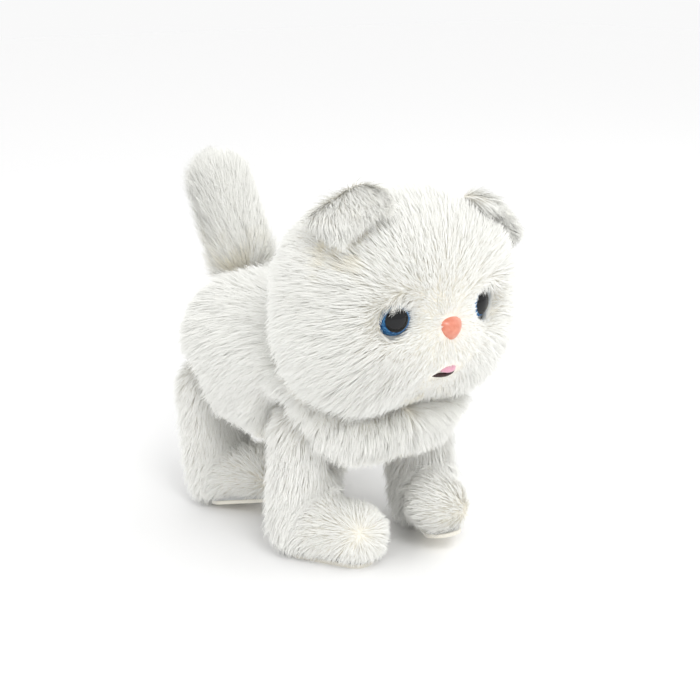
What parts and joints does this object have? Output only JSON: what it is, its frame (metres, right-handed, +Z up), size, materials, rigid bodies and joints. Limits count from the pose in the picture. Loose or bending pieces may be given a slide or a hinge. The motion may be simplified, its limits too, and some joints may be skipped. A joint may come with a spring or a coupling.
{
  "type": "interactive plush kitten",
  "caption": "Walking plush kitten with long white pile, geared crank chassis, swinging legs, nodding head, wagging tail and a belly battery bay.",
  "frame": {"origin": "on the floor, under the middle of the toy", "axes": "+Z up; the kitten faces -Y, and its own left side is +X"},
  "size_m": [0.11, 0.2055, 0.1785],
  "materials": {
    "white_plush": "long white acrylic pile with cream roots",
    "sole_felt": "dense pressed felt",
    "eye_gloss": "polished clear dome over blue iris and black pupil",
    "nose_vinyl": "satin salmon vinyl",
    "mouth_vinyl": "dark brown soft vinyl",
    "tongue_felt": "pink felt",
    "cell_jacket": "shrink sleeve",
    "spring_steel": "nickel plated",
    "motor_steel": "zinc plated",
    "pin_steel": "bright drawn",
    "gear_acetal": "moulded acetal",
    "pinion_brass": "turned",
    "board_laminate": "solder mask",
    "switch_black": "moulded",
    "case_abs": "fine spark texture",
    "frame_abs": "moulded"
  },
  "bodies": {
    "chassis": {"chassis_lower": "case_abs", "chassis_upper": "case_abs", "battery_cells": "cell_jacket", "battery_contacts": "spring_steel", "power_switch": "switch_black", "motor": "motor_steel", "gear_axles": "pin_steel", "gear_plate_inner": "frame_abs", "gear_plate_outer": "frame_abs", "plate_screws": "pin_steel", "control_board": "board_laminate", "speaker": "motor_steel", "chassis_screws": "pin_steel", "hip_pins": "pin_steel", "neck_post": "frame_abs", "neck_pin": "pin_steel", "tail_pin": "pin_steel", "body_plush": "white_plush"},
    "cover": {"battery_cover": "case_abs", "cover_screw": "pin_steel"},
    "switch": {"switch_knob": "switch_black"},
    "motor_rotor": {"motor_pinion": "pinion_brass", "motor_shaft": "pin_steel"},
    "reduction": {"reduction_gear": "gear_acetal"},
    "output": {"output_gear": "gear_acetal"},
    "front_idler": {"front_idler_gear": "gear_acetal"},
    "rear_idler": {"rear_idler_gear": "gear_acetal"},
    "front_crank": {"front_crankshaft": "pin_steel", "front_crank_gear": "gear_acetal", "front_crank_discs": "frame_abs"},
    "rear_crank": {"rear_crankshaft": "pin_steel", "rear_crank_gear": "gear_acetal", "rear_crank_discs": "frame_abs"},
    "head": {"head_shell_front": "frame_abs", "head_shell_rear": "frame_abs", "neck_yoke": "frame_abs", "head_plush": "white_plush", "eye_right": "eye_gloss", "eye_left": "eye_gloss", "nose": "nose_vinyl", "mouth_lip": "mouth_vinyl", "tongue": "tongue_felt", "ear_right": "white_plush", "ear_left": "white_plush", "touch_spring": "spring_steel"},
    "touch": {"touch_button": "frame_abs"},
    "tail": {"tail_core": "frame_abs", "tail_plush": "white_plush"},
    "front_right_leg": {"front_right_leg_bone": "frame_abs", "front_right_leg_plush": "white_plush", "front_right_sole": "sole_felt"},
    "front_left_leg": {"front_left_leg_bone": "frame_abs", "front_left_leg_plush": "white_plush", "front_left_sole": "sole_felt"},
    "rear_right_leg": {"rear_right_leg_bone": "frame_abs", "rear_right_leg_plush": "white_plush", "rear_right_sole": "sole_felt"},
    "rear_left_leg": {"rear_left_leg_bone": "frame_abs", "rear_left_leg_plush": "white_plush", "rear_left_sole": "sole_felt"}
  },
  "joints": [
    {"name": "front_right_leg_swing", "type": "hinge", "parent": "chassis", "child": "front_right_leg", "pos_m": [-0.0243, -0.0374, 0.062], "axis": [-1, 0, 0], "range_deg": [0, 14]},
    {"name": "front_left_leg_swing", "type": "hinge", "parent": "chassis", "child": "front_left_leg", "pos_m": [0.0243, -0.0374, 0.062], "axis": [-1, 0, 0], "range_deg": [-14, 0]},
    {"name": "rear_right_leg_swing", "type": "hinge", "parent": "chassis", "child": "rear_right_leg", "pos_m": [-0.0243, 0.049, 0.062], "axis": [-1, 0, 0], "range_deg": [-14, 0]},
    {"name": "rear_left_leg_swing", "type": "hinge", "parent": "chassis", "child": "rear_left_leg", "pos_m": [0.0243, 0.049, 0.062], "axis": [-1, 0, 0], "range_deg": [0, 14]},
    {"name": "head_nod", "type": "hinge", "parent": "chassis", "child": "head", "pos_m": [0, -0.0412, 0.108], "axis": [1, 0, 0], "range_deg": [-8, 8]},
    {"name": "tail_wag", "type": "hinge", "parent": "chassis", "child": "tail", "pos_m": [0, 0.0538, 0.0975], "axis": [0, 1, 0], "range_deg": [-15, 15]},
    {"name": "rear_crank_turn", "type": "hinge", "parent": "chassis", "child": "rear_crank", "pos_m": [0, 0.049, 0.073], "axis": [1, 0, 0], "continuous": true},
    {"name": "front_crank_turn", "type": "hinge", "parent": "chassis", "child": "front_crank", "pos_m": [0, -0.0374, 0.073], "axis": [1, 0, 0], "continuous": true},
    {"name": "front_idler_turn", "type": "hinge", "parent": "chassis", "child": "front_idler", "pos_m": [0, -0.0126, 0.073], "axis": [1, 0, 0], "continuous": true},
    {"name": "rear_idler_turn", "type": "hinge", "parent": "chassis", "child": "rear_idler", "pos_m": [0, 0.0242, 0.073], "axis": [1, 0, 0], "continuous": true},
    {"name": "output_turn", "type": "hinge", "parent": "chassis", "child": "output", "pos_m": [0, 0.0058, 0.073], "axis": [1, 0, 0], "continuous": true},
    {"name": "reduction_turn", "type": "hinge", "parent": "chassis", "child": "reduction", "pos_m": [0, 0.0058, 0.087], "axis": [1, 0, 0], "continuous": true},
    {"name": "motor_turn", "type": "hinge", "parent": "chassis", "child": "motor_rotor", "pos_m": [0, 0.0193, 0.087], "axis": [1, 0, 0], "continuous": true},
    {"name": "switch_slide", "type": "slide", "parent": "chassis", "child": "switch", "axis": [1, 0, 0], "range_m": [0, 0.003]},
    {"name": "cover_lift", "type": "slide", "parent": "chassis", "child": "cover", "axis": [0, 0, -1], "range_m": [0, 0.006]},
    {"name": "touch_press", "type": "slide", "parent": "head", "child": "touch", "axis": [0, 0, -1], "range_m": [0, 0.0015], "stiffness_N_per_m": 300, "springref_m": -0.0005, "deforming": ["touch_spring"]}
  ],
  "couplings": [
    {"joint": "rear_left_leg_swing", "follows": "front_right_leg_swing", "ratio": 1},
    {"joint": "front_left_leg_swing", "follows": "front_right_leg_swing", "ratio": -1},
    {"joint": "rear_right_leg_swing", "follows": "front_right_leg_swing", "ratio": -1},
    {"joint": "front_crank_turn", "follows": "rear_crank_turn", "ratio": 1},
    {"joint": "rear_idler_turn", "follows": "rear_crank_turn", "ratio": -0.82353},
    {"joint": "front_idler_turn", "follows": "rear_crank_turn", "ratio": -0.82353},
    {"joint": "output_turn", "follows": "rear_crank_turn", "ratio": 2.3333},
    {"joint": "reduction_turn", "follows": "rear_crank_turn", "ratio": -8.5556},
    {"joint": "motor_turn", "follows": "rear_crank_turn", "ratio": 37.644}
  ]
}
